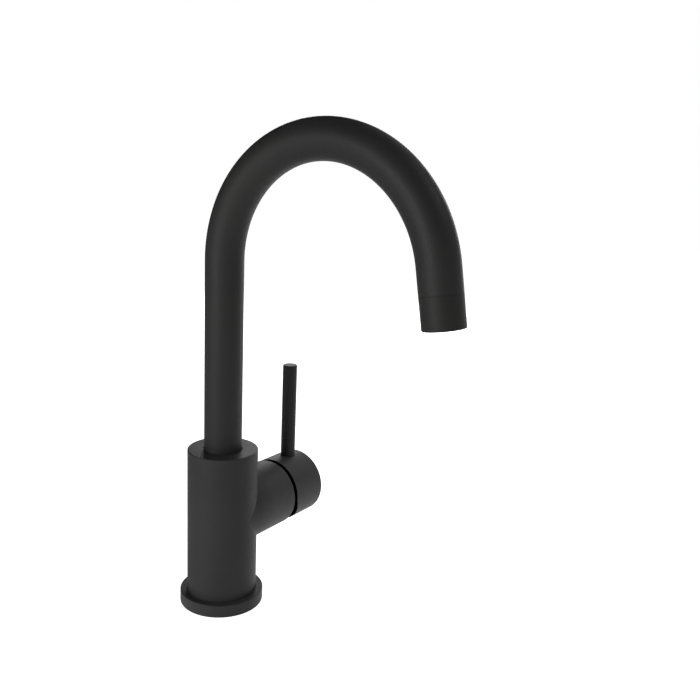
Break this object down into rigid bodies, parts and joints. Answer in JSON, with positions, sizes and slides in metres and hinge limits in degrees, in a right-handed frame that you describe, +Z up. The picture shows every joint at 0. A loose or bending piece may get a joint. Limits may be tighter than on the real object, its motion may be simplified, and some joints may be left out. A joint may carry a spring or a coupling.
{
  "type": "single-hole lavatory faucet",
  "caption": "Matte black single-hole basin mixer with a swivel gooseneck spout and a side joystick pin handle on a ceramic disc cartridge.",
  "frame": {"origin": "on the axis of the upright body, in the plane of the deck under the base flange", "axes": "+Z up, -Y towards the user along the spout, +X to the user's right along the handle axis"},
  "size_m": [0.1125, 0.2025, 0.3296],
  "materials": {
    "black_body": "fine matt black coating",
    "black_spout": "fine matt black coating",
    "black_handle": "fine matt black coating",
    "black_flange": "fine matt black coating",
    "black_trim": "moulded black plastic",
    "brass": "machined, uncoated",
    "steel": "machined stainless",
    "rubber": "black nitrile",
    "bearing_plastic": "natural acetal",
    "cartridge_plastic": "natural moulded plastic",
    "housing_plastic": "dark grey moulded plastic",
    "ceramic": "lapped alumina",
    "aerator_plastic": "dark moulded plastic"
  },
  "bodies": {
    "body": {"body_casting": "black_body", "base_flange": "black_flange", "deck_gasket": "rubber", "inlet_base": "brass", "inlet_seals": "rubber", "thrust_washer": "bearing_plastic", "spout_stop_screw": "steel", "cartridge_base": "cartridge_plastic", "cartridge_seals": "rubber", "fixed_disc": "ceramic", "cartridge_housing": "housing_plastic", "cartridge_nut": "brass", "bonnet": "black_trim"},
    "spout": {"spout_foot": "brass", "foot_slide_rings": "bearing_plastic", "foot_o_rings": "rubber", "spout_tube": "black_spout", "outlet_sleeve": "black_spout", "aerator_washer": "rubber", "aerator_body": "aerator_plastic", "aerator_screen": "aerator_plastic", "aerator_grid": "aerator_plastic"},
    "turret": {"rotor": "cartridge_plastic", "pivot_pin": "steel"},
    "disc_set": {"disc_carrier": "cartridge_plastic", "moving_disc": "ceramic"},
    "handle": {"stem": "steel", "handle_cap": "black_handle", "handle_lever": "black_handle", "handle_set_screw": "steel"}
  },
  "joints": [
    {"name": "spout_swivel", "type": "hinge", "parent": "body", "child": "spout", "pos_m": [0, 0, 0.0798], "axis": [0, 0, 1], "range_deg": [-60, 60]},
    {"name": "temperature_turn", "type": "hinge", "parent": "body", "child": "turret", "pos_m": [0.039, 0, 0.063], "axis": [1, 0, 0], "range_deg": [-45, 45]},
    {"name": "flow_tilt", "type": "hinge", "parent": "turret", "child": "handle", "pos_m": [0.039, 0, 0.063], "axis": [0, 1, 0], "range_deg": [0, 18]},
    {"name": "disc_shift", "type": "slide", "parent": "turret", "child": "disc_set", "axis": [0, 0, 1], "range_m": [0, 0.0032]}
  ],
  "couplings": [
    {"joint": "disc_shift", "follows": "flow_tilt", "m_per_rad": 0.01}
  ]
}
